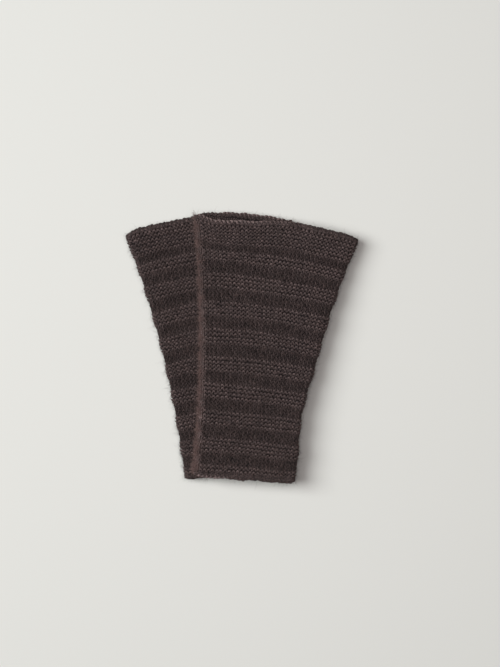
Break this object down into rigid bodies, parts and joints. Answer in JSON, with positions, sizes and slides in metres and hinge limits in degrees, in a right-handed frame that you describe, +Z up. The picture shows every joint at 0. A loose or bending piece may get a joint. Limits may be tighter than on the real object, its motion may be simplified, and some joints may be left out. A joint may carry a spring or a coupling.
{
  "type": "fingerless gloves",
  "caption": "Pair of knitted fingerless gloves, each a flared welted tube sewn along one fold, laid flat with one fanned over the other.",
  "frame": {"origin": "centre of the pair's box, on the surface that the rear glove lies on", "axes": "+Y from the hand ends to the arm ends, +X across towards the front glove's outer fold, +Z up through the stack"},
  "size_m": [0.2018, 0.2286, 0.0243],
  "materials": {
    "rear_wool": "knitted in welts, slightly fuzzy wool",
    "rear_seam_yarn": "sewn with the same wool",
    "rear_edge_yarn": "cast-on and bound-off chain of the same wool",
    "front_wool": "knitted in welts, slightly fuzzy wool",
    "front_seam_yarn": "sewn with the same wool",
    "front_edge_yarn": "cast-on and bound-off chain of the same wool"
  },
  "bodies": {
    "rear_glove": {"rear_sleeve": "rear_wool", "rear_side_seam": "rear_seam_yarn", "rear_hand_edge": "rear_edge_yarn", "rear_arm_edge": "rear_edge_yarn", "rear_seam_knot": "rear_seam_yarn", "rear_cast_on_tail": "rear_edge_yarn", "rear_bind_off_tail": "rear_edge_yarn"},
    "front_glove": {"front_sleeve": "front_wool", "front_side_seam": "front_seam_yarn", "front_hand_edge": "front_edge_yarn", "front_arm_edge": "front_edge_yarn", "front_seam_knot": "front_seam_yarn", "front_cast_on_tail": "front_edge_yarn", "front_bind_off_tail": "front_edge_yarn"}
  },
  "joints": [
    {"name": "front_glove_lift", "type": "slide", "parent": "rear_glove", "child": "front_glove", "axis": [0, 0, 1], "range_m": [0, 0.05]}
  ]
}
